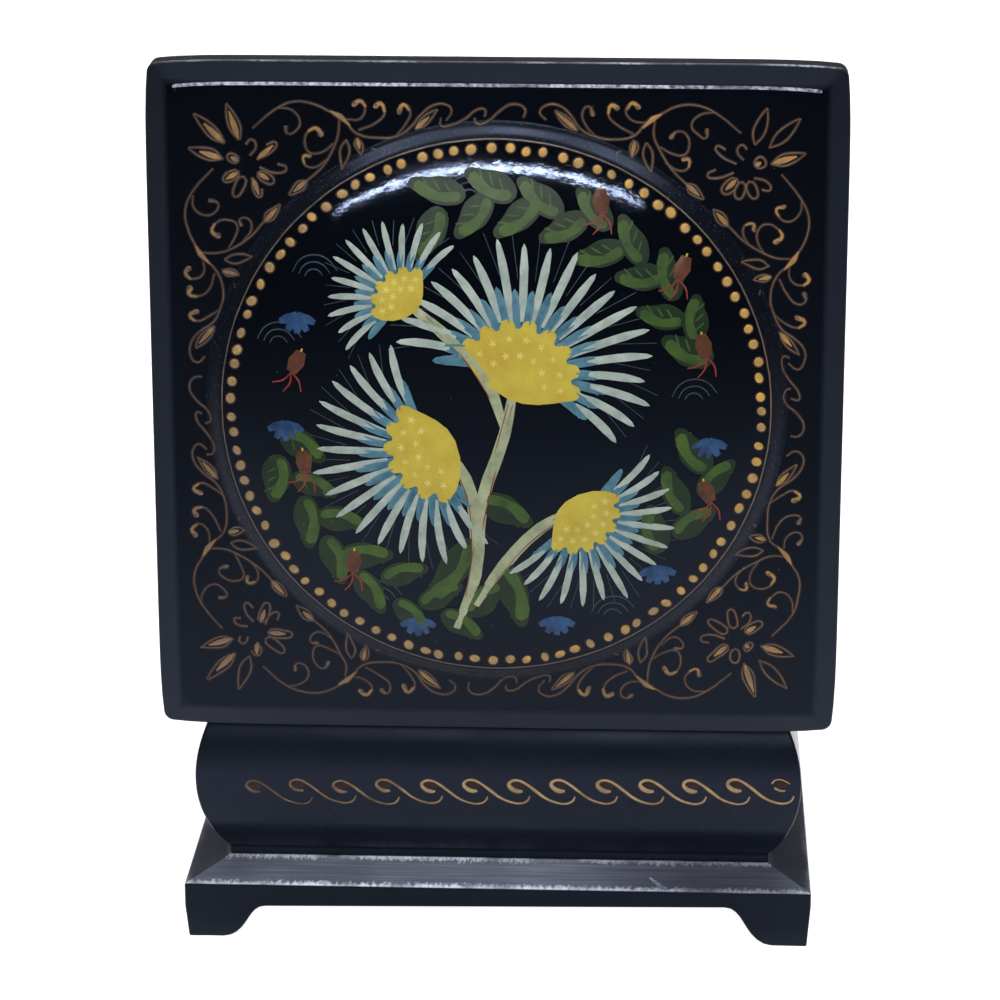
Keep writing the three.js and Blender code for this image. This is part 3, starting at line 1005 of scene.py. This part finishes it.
# %% Set the dots
DOT_RING = 40.5
DOT_COUNT = 95
DOT_SIZE = 1.5
DOT_THICK = 0.17 * MM
DOT_HALO = 1.28
HALO_THICK = 0.04 * MM
RING_LINE = 41.9
RING_WIDTH = 0.2
dot_gold = gold_paint("dot_gold_paint", "#c99c38", "#7d6748", lid_corner_low, lid_corner_high)
gold_dots, brown_dots = bmesh.new(), bmesh.new()
for i in range(DOT_COUNT):
    angle = 360 * (i + hand.uniform(-0.14, 0.14)) / DOT_COUNT
    u, v = polar((0, 0), angle, DOT_RING + hand.uniform(-0.2, 0.2))
    place = on_lid(u * MM, v * MM)
    near = on_lid(u * MM * 0.99, v * MM * 0.99)
    beside = on_lid((u - v * 0.01) * MM, (v + u * 0.01) * MM)
    normal = (beside - place).cross(near - place).normalized()
    normal = normal if normal.y < 0 else -normal
    wide = DOT_SIZE / 2 * hand.uniform(0.8, 1.05) * MM
    long = DOT_SIZE / 2 * hand.uniform(0.95, 1.2) * MM
    spin = Matrix.Rotation(hand.uniform(0, math.pi), 4, "Z")
    turn = Matrix.Translation(place) @ normal.to_track_quat("Z", "Y").to_matrix().to_4x4() @ spin
    for dots, grow, thick in ((gold_dots, 1.0, DOT_THICK), (brown_dots, DOT_HALO, HALO_THICK)):
        squash = Matrix.Diagonal((wide * grow, long * grow, thick, 1))
        bmesh.ops.create_uvsphere(dots, u_segments=10, v_segments=6, radius=1.0, matrix=turn @ squash)
make_piece(gold_dots, "lid_dots", "lid", "lid_lacquer", dot_gold, weighted=False)
make_piece(brown_dots, "lid_dot_size", "lid", "lid_lacquer", size_brown, weighted=False)
ring = [(*polar((0, 0), angle, RING_LINE), RING_WIDTH) for angle in range(0, 360, 12)]
brush_lines("lid_ring_line", [(ring, True)], LINE_FILM, 0.0, LID_FACE, thin_gold)

# %% [markdown]
# ## The wave band on the box
# Thirteen running waves cross the hinge side, each drawn in one sweep: a drop of gold, a hook over it,
# and a long swelling stroke that dips under the next wave. Brown size fills the hooks. The band climbs
# a little to the right, its left waves are faded, and the last one is nearly worn away.

# %% Draw the waves
WAVE_COUNT = 13
WAVE_PITCH = 6.95
WAVE_LEFT = -38.4
WAVE_HEIGHT = -1.9
WAVE_CLIMB = 1.45
WAVE = ((0.67, -0.14, 0.4), (-0.17, -0.14, 0.8), (-1.1, 0.35, 0.72), (-1.5, 1.05, 0.55), (-1.0, 1.6, 0.46),
        (0.0, 1.7, 0.42), (1.35, 1.05, 0.42), (2.7, 0.0, 0.48), (4.5, -1.4, 0.42), (6.2, -2.1, 0.36),
        (7.55, -2.25, 0.3), (8.6, -1.75, 0.3), (9.0, -0.9, 0.2))
HOOK = ((-1.0, 0.8, 0.4), (-0.5, 0.85, 0.95), (0.1, 0.85, 1.1), (0.6, 0.7, 0.8), (0.9, 0.5, 0.3))
WORN_AWAY = {12: ((0, 3), (3, 7))}
WAVE_BORDER = 0.16
waves, hooks = [], []
for i in range(WAVE_COUNT):
    x0 = WAVE_LEFT + WAVE_PITCH * i + hand.uniform(-0.2, 0.2)
    y0 = WAVE_HEIGHT + WAVE_CLIMB * i / (WAVE_COUNT - 1) + hand.uniform(-0.12, 0.12)
    fullness = 0.45 if i in WORN_AWAY else min(1.0, 0.62 + 0.07 * i)
    for first, last in WORN_AWAY.get(i, ((0, len(WAVE)),)):
        stroke = [(x0 + x, y0 + y, width * fullness * hand.uniform(0.9, 1.1))
                  for x, y, width in WAVE[first:last]]
        waves.append((stroke, False))
    hooks.append(([(x0 + x, y0 + y, width) for x, y, width in HOOK], False))
wave_gold = gold_paint("band_gold_paint", "#a18a62", "#43332e",
                       (-BULGE_HALF, 0), (-5 * MM, body_high.z), fading=(0.95, 0.0))
under_waves = widened(waves, WAVE_BORDER) + hooks
brush_lines("wave_band_size", under_waves, SIZE_FILM, 0.0, WALL_FACE, size_brown)
brush_lines("wave_band", waves, LINE_FILM, 0.01, WALL_FACE, wave_gold)

# %% [markdown]
# ## A scratch on the plinth
# One short white scratch runs up the front slope from its lower edge, right of the middle, as ragged
# as the painted glint beside it.

# %% Scratch the plinth
SCRATCH = (((26.8, 0.4), (26.2, 1.3), (25.2, 2.3), (24.4, 3.2)), ((26.4, 0.5), (25.6, 1.6), (24.9, 2.4)))
SCRATCH_WIDTHS = (0.55, 0.7)
SCRATCH_FILM = 0.1
slope_length = math.hypot(SLOPE_RUN, SLOPE_RISE)


def on_front_slope(x, s, lift=0.0):
    """A place on the plinth's front slope, s along it upwards from its lower edge"""
    run, rise = SLOPE_RUN / slope_length, SLOPE_RISE / slope_length
    return Vector((x, plinth_low.y + s * run - lift * rise, arris_height + s * rise + lift * run))


scratches = [touch(points, thick, shake=0.15) for points, thick in zip(SCRATCH, SCRATCH_WIDTHS)]
front_slope = (on_front_slope, "box", "plinth_lacquer")
brush_lines("plinth_scratch", scratches, SCRATCH_FILM, 0.0, front_slope, scratched)

# %% [markdown]
# ## The picture on the dome
# Tempera under varnish on the black ground. The design is a plain garden spray: fan-shaped blossoms
# with scalloped yellow hearts and long white and blue petals on pale stems, among green leaves, brown
# buds and small bells. Petals are single touches of the brush; hearts and leaves are patches. Each
# colour is one piece, and the lighter colours lie over the darker, as they were painted.

# %% Tempera colours
def tempera(name, light, dark, mottle):
    """Opaque egg paint under varnish, a little uneven; mottle is the size of its patches in mm"""
    material, tree, shader, where = new_material(name)
    cloud = noise(tree, where, mottle, 4.0, 0.65)
    colour = mixed(tree, ramp(tree, cloud, 0.3, 0.7), light, dark)
    set_inputs(tree, shader, {"Base Color": colour, "Normal": bumped(tree, cloud, 0.15, 0.05),
                              "Roughness": 0.3, "Specular IOR Level": LACQUER_SPECULAR})
    return material


PAINTS = {
    "white": tempera("white_tempera", "#99a29a", "#75837f", 2.5),
    "sky": tempera("pale_blue_tempera", "#4c7482", "#264d61", 3.0),
    "yellow": tempera("yellow_tempera", "#aa9c3c", "#9b8631", 4.0),
    "cream": tempera("cream_tempera", "#969a7e", "#6c765a", 3.0),
    "red": tempera("red_tempera", "#7c3028", "#5a2320", 2.0),
    "leaf": tempera("leaf_green_tempera", "#3b5220", "#253b1d", 3.0),
    "dark_leaf": tempera("dark_green_tempera", "#182b17", "#101d13", 4.0),
    "brown": tempera("brown_tempera", "#5a3725", "#351c15", 2.0),
    "blue": tempera("blue_tempera", "#27486f", "#152845", 2.0),
    "pale_yellow": tempera("pale_yellow_tempera", "#bdb274", "#b0a052", 2.0),
    "grey": tempera("grey_blue_tempera", "#323d49", "#1f2631", 3.0),
    "shade": tempera("shade_blue_tempera", "#4f7180", "#3b6172", 3.0),
}
print(len(PAINTS), "colours mixed")

# %% Blossoms
BLOSSOMS = (
    ((3.0, 5.0), 65, 168, 9.0, 22.0, 19),
    ((-8.0, -5.0), 205, 156, 8.0, 20.0, 17),
    ((12.0, -15.0), 312, 150, 6.5, 16.5, 15),
    ((-13.0, 17.0), 135, 144, 5.2, 13.0, 13),
)
PETAL = ((0.0, 0.5), (0.3, 0.95), (0.7, 1.0), (0.93, 0.6), (1.0, 0.1))
lines = {name: [] for name in PAINTS}
patches = {name: [] for name in PAINTS}


def petal(centre, angle, lean, start, end, wide):
    """One long touch that leans as it goes out, with a narrow root and a blunt tip"""
    return [(*polar(centre, angle + lean * share, start + (end - start) * share), wide * swell)
            for share, swell in PETAL], False


def blossom(centre, facing, spread, heart, reach, petals):
    """A fan of white petals over shorter blue ones, round a scalloped heart"""
    step = spread / (petals - 1)
    wide = math.radians(step) * heart
    for i in range(petals):
        angle = facing - spread / 2 + step * i
        lean = (angle - facing) * 0.14
        length = reach * (0.84 + 0.16 * math.cos(math.radians(angle - facing))) * hand.uniform(0.95, 1.04)
        lines["sky"].append(petal(centre, angle + step * 0.4, lean, heart * 0.7, length * 0.68, wide * 1.05))
        lines["white"].append(petal(centre, angle, lean, heart * 1.08, length, wide * 0.88))
        tip = polar(centre, angle + step / 2 + lean, length * 1.05)
        lines["grey"].append(touch([polar(centre, angle + step / 2, length * 0.75), tip], 0.2))
        shade = petal(centre, angle + step * 0.2, lean, heart * 1.05, length * 0.62, wide * 0.25)
        lines["shade"].append(shade)
    lobes = max(5, round(petals / 2.3))
    outline = [polar(centre, facing + 180, heart * 0.28)]
    for i in range(lobes):
        angle = facing - spread / 2 + spread * (i + 0.5) / lobes
        for offset, out in ((-0.46, 0.95), (-0.2, 1.1), (0.2, 1.1)):
            outline.append(polar(centre, angle + spread / lobes * offset, heart * out))
    patches["yellow"].append(outline)
    for ring, count in ((0.78, lobes), (0.5, lobes - 2)):
        for i in range(count):
            angle = facing - spread / 2 + spread * (i + 0.5) / count
            for turn in range(0, 360, 72):
                spot = polar(centre, angle, heart * ring)
                lines["pale_yellow"].append(touch([spot, polar(spot, angle + turn, 0.55)], 0.32))


for flower in BLOSSOMS:
    blossom(*flower)
print(len(lines["white"]), "white petals")

# %% Stems
STEMS = (
    ((3.0, 5.0), (1.5, -3.0), (-2.0, -14.0), (-3.0, -26.0), (-6.0, -35.0)),
    ((-8.0, -5.0), (-4.5, -10.0), (-3.0, -17.0), (-3.4, -27.0)),
    ((12.0, -15.0), (7.0, -18.0), (1.5, -24.0), (-3.0, -31.0)),
    ((-13.0, 17.0), (-7.0, 12.0), (-1.5, 6.0), (1.5, -2.0)),
)
for points in STEMS:
    lines["cream"].append(touch(points, 2.0))
    for aside in (-0.35, 0.35):
        lines["red"].append(touch([between(a, b, 0.4, aside) for a, b in zip(points, points[1:])], 0.2))
print(len(STEMS), "stems")

# %% Garlands of leaves
GARLANDS = ((14, 104, 15), (186, 262, 13), (318, 344, 5))
GARLAND_RADIUS = 33.0
STEM_LEAVES = (((-3.0, -20.0), 235, 13), ((1.5, -24.0), 285, 11), ((-2.0, -13.0), 330, 9))
STEM_LEAF_WIDTH = 4.6


def painted_leaf(base, angle, length, width):
    """A dark leaf with one light half and light veins on the other"""
    tip = polar(base, angle, length)
    patches["dark_leaf"].append([
        base, between(base, tip, 0.35, width / 2), between(base, tip, 0.75, width / 3), tip,
        between(base, tip, 0.7, -width / 3), between(base, tip, 0.3, -width / 2)])
    patches["leaf"].append([
        between(base, tip, 0.08), between(base, tip, 0.4, width / 2.6), between(base, tip, 0.9),
        between(base, tip, 0.45, width / 12)])
    for share in (0.25, 0.45, 0.65):
        start, end = between(base, tip, share), between(base, tip, share + 0.16, -width / 3.2)
        lines["leaf"].append(touch([start, between(start, end, 0.5), end], 0.35))


for first, last, count in GARLANDS:
    for i in range(count):
        angle = first + (last - first) * i / (count - 1)
        lean = 22 if i % 2 else -50
        base = polar((0, 0), angle, GARLAND_RADIUS + hand.uniform(-1.0, 1.0))
        painted_leaf(base, angle + 90 - lean, hand.uniform(7.5, 9.0), hand.uniform(3.8, 4.8))
for base, angle, length in STEM_LEAVES:
    painted_leaf(base, angle, length, STEM_LEAF_WIDTH)
print(len(patches["leaf"]), "leaves")

# %% Buds, bells and curls
BUDS = ((16.0, 31.0), (27.5, 21.0), (32.0, 9.0), (-29.0, -10.0), (-22.0, -26.0), (-31.0, 6.0), (33.0, -14.0))
for place in BUDS:
    tip = polar(place, hand.uniform(60, 120), 3.6)
    lines["brown"].append(touch([place, between(place, tip, 0.5), tip], 2.6))
    lines["yellow"].append(touch([between(place, tip, 0.8), polar(tip, 80, 0.5)], 0.5))
    for angle in (225, 262, 310):
        lines["red"].append(touch([place, polar(place, angle, 1.8), polar(place, angle - 15, 3.4)], 0.3))

BELLS = ((32.5, -4.0), (-32.0, -2.0), (-12.0, -33.5), (9.5, -33.0), (-30.0, 15.0), (25.0, -24.5))
for place in BELLS:
    for angle in (205, 240, 270, 300, 335):
        tip = polar(place, angle, 3.0)
        lines["blue"].append(touch([place, between(place, tip, 0.6), tip], 1.4))
    for angle in (240, 300):
        lines["sky"].append(touch([polar(place, angle, 1.2), polar(place, angle, 2.6)], 0.35))

CURLS = ((-18.0, -31.0), (-27.5, 20.5), (30.0, 2.0), (18.0, -33.0), (-4.0, 33.0), (-33.0, 10.0))
for place in CURLS:
    for reach in (1.6, 2.8, 4.0):
        arc = [polar(place, angle, reach * (1 - angle / 900)) for angle in range(20, 200, 36)]
        lines["grey"].append(touch(arc, 0.24))
print(sum(len(group) for group in lines.values()), "touches of the brush")

# %% Paint the picture
LAYERS = {"dark_leaf": 0.03, "grey": 0.03, "leaf": 0.06, "brown": 0.1, "blue": 0.06, "cream": 0.08,
          "sky": 0.08, "white": 0.11, "shade": 0.19, "red": 0.16, "yellow": 0.16, "pale_yellow": 0.2}
PATCH_FILM = 0.06
TOUCH_FILM = 0.12
for colour, lift in LAYERS.items():
    paint = PAINTS[colour]
    if patches[colour]:
        paint_patches(f"picture_{colour}_patches", patches[colour], PATCH_FILM, lift, LID_FACE, paint)
    if lines[colour]:
        brush_lines(f"picture_{colour}_lines", lines[colour], TOUCH_FILM, lift, LID_FACE, paint)

# %% [markdown]
# ## Floor, camera and light
# A wide pale floor that glows in a square under the box, painted light that keeps the shadow between
# the feet light, and a camera at the photograph's angle with a long lens. A large softbox above and
# behind lights the floor, two gridded softboxes light the painted face from either side, high enough
# to stay out of its mirror, and a weaker one in front softens the shadow under the lid. The bright
# crescent at the top of the dome is a row of small lamps with narrow beams: each is placed by following
# the ray that the dome mirrors from the camera, and turned to lie along the arc.

# %% Floor
GLOW_HALF = 52 * MM
GLOW_BLUR = 6 * MM


def pale_floor():
    """White paper that glows in a square under the box: painted light in the shadow"""
    material, tree, shader, where = new_material("pale_paper")
    axes = split(tree, where)
    reach = farther(tree, axes["X"], axes["Y"])
    colour = mixed(tree, noise(tree, where, 60.0, 3.0), "#f4f4f4", "#f0f0f1")
    # The glow under the box is painted light: it lifts the shadow between the feet
    glow_under_box = ramp(tree, reach, GLOW_HALF - GLOW_BLUR, GLOW_HALF, 1.0, 0.0)
    set_inputs(tree, shader, {"Base Color": colour, "Roughness": 0.9, "Specular IOR Level": 0.1,
                              "Emission Color": linear("#ffffff"), "Emission Strength": glow_under_box})
    return material


FLOOR_HALF = 5.0
bm = bmesh.new()
bmesh.ops.create_grid(bm, x_segments=1, y_segments=1, size=FLOOR_HALF)
mesh = bpy.data.meshes.new("floor")
bm.to_mesh(mesh)
bm.free()
mesh.materials.append(pale_floor())
floor = bpy.data.objects.new("floor", mesh)
bpy.context.scene.collection.objects.link(floor)
print("floor of", FLOOR_HALF * 2, "m")

# %% Camera
CAMERA_LENS = 139.2
CAMERA_PLACE = Vector((25.8, -616.2, 251.2)) * MM
looking = Vector((-0.04234, 0.95411, -0.29644))
view = bpy.data.cameras.new("camera")
view.sensor_width = 36.0
view.lens = CAMERA_LENS
camera = bpy.data.objects.new("camera", view)
camera.location = CAMERA_PLACE
camera.rotation_euler = looking.to_track_quat("-Z", "Y").to_euler()
bpy.context.scene.collection.objects.link(camera)
bpy.context.scene.camera = camera
bpy.context.scene.view_settings.view_transform = "Standard"
print("camera looks down", round(math.degrees(math.asin(-looking.z)), 1), "degrees")

# %% Softboxes
def softbox(name, place, aim, size, watts, spread=180, roll=0.0):
    """A rectangular lamp that looks at a point, rolled about its own axis by an angle"""
    lamp = bpy.data.lights.new(name, "AREA")
    lamp.shape = "RECTANGLE"
    lamp.size, lamp.size_y = size
    lamp.energy = watts
    lamp.spread = math.radians(spread)
    lamp_object = bpy.data.objects.new(name, lamp)
    lamp_object.location = place
    facing = (Vector(aim) - Vector(place)).to_track_quat("-Z", "Y")
    lamp_object.rotation_euler = (facing @ Quaternion((0, 0, 1), roll)).to_euler()
    bpy.context.scene.collection.objects.link(lamp_object)


painted_face = on_lid(0, 0)
softbox("overhead", (0, 0.55, 1.0), (0, 0.45, 0), (1.3, 0.9), 9, spread=100)
softbox("floor_front", (0.03, -0.28, 0.6), (0.03, -0.1, 0), (0.6, 0.1), 0.3, spread=40)
KEY_DISTANCE = 1.1
KEYS = (("key_left", -42, 50, 0.155), ("key_right", 42, 50, 0.15), ("fill", 0, 24, 0.05))
for name, azimuth, elevation, watts in KEYS:
    turn = Matrix.Rotation(math.radians(azimuth), 3, "Z") @ Matrix.Rotation(-math.radians(elevation), 3, "X")
    place = painted_face + turn @ Vector((0, -KEY_DISTANCE, 0))
    softbox(name, place, painted_face, (0.3, 0.3), watts, spread=30)

world = bpy.data.worlds.new("studio")
bpy.context.scene.world = world
world.use_nodes = True
set_inputs(world.node_tree, world.node_tree.nodes["Background"],
           {"Color": linear("#e6ecf5"), "Strength": 0.15})
print("softboxes placed")

# %% Lamps for the crescent
CRESCENT_LAMPS = 15
CRESCENT_ENDS = (-35, 31)
CRESCENT_RADIUS = (37.6 * MM, 38.7 * MM)
LAMP_DISTANCE = 1.2
LAMP_SIZE = (0.065, 0.014)
LAMP_WATTS = 0.000364
LAMP_SPREAD = 6


def dome_mirror(angle, radius):
    """A place on the dome, and the way that it mirrors the camera's ray"""
    place = on_lid(radius * math.sin(angle), radius * math.cos(angle))
    slope = dome_rise * DOME_POWER / DOME_RADIUS * (radius / DOME_RADIUS) ** (DOME_POWER - 1)
    normal = Vector((slope * math.sin(angle), -1, slope * math.cos(angle))).normalized()
    ray = (place - camera.location).normalized()
    return place, ray - 2 * ray.dot(normal) * normal


for i in range(CRESCENT_LAMPS):
    share = 2 * i / (CRESCENT_LAMPS - 1) - 1
    radius = CRESCENT_RADIUS[0] + (CRESCENT_RADIUS[1] - CRESCENT_RADIUS[0]) * share ** 2
    angle = math.radians(CRESCENT_ENDS[0] + (CRESCENT_ENDS[1] - CRESCENT_ENDS[0]) * (share + 1) / 2)
    place, way = dome_mirror(angle, radius)
    taper = 1 - 0.5 * share ** 2
    softbox("crescent", place + way * LAMP_DISTANCE, place, (LAMP_SIZE[0], LAMP_SIZE[1] * taper),
            LAMP_WATTS * taper, LAMP_SPREAD, -angle)
print("crescent lamps placed")
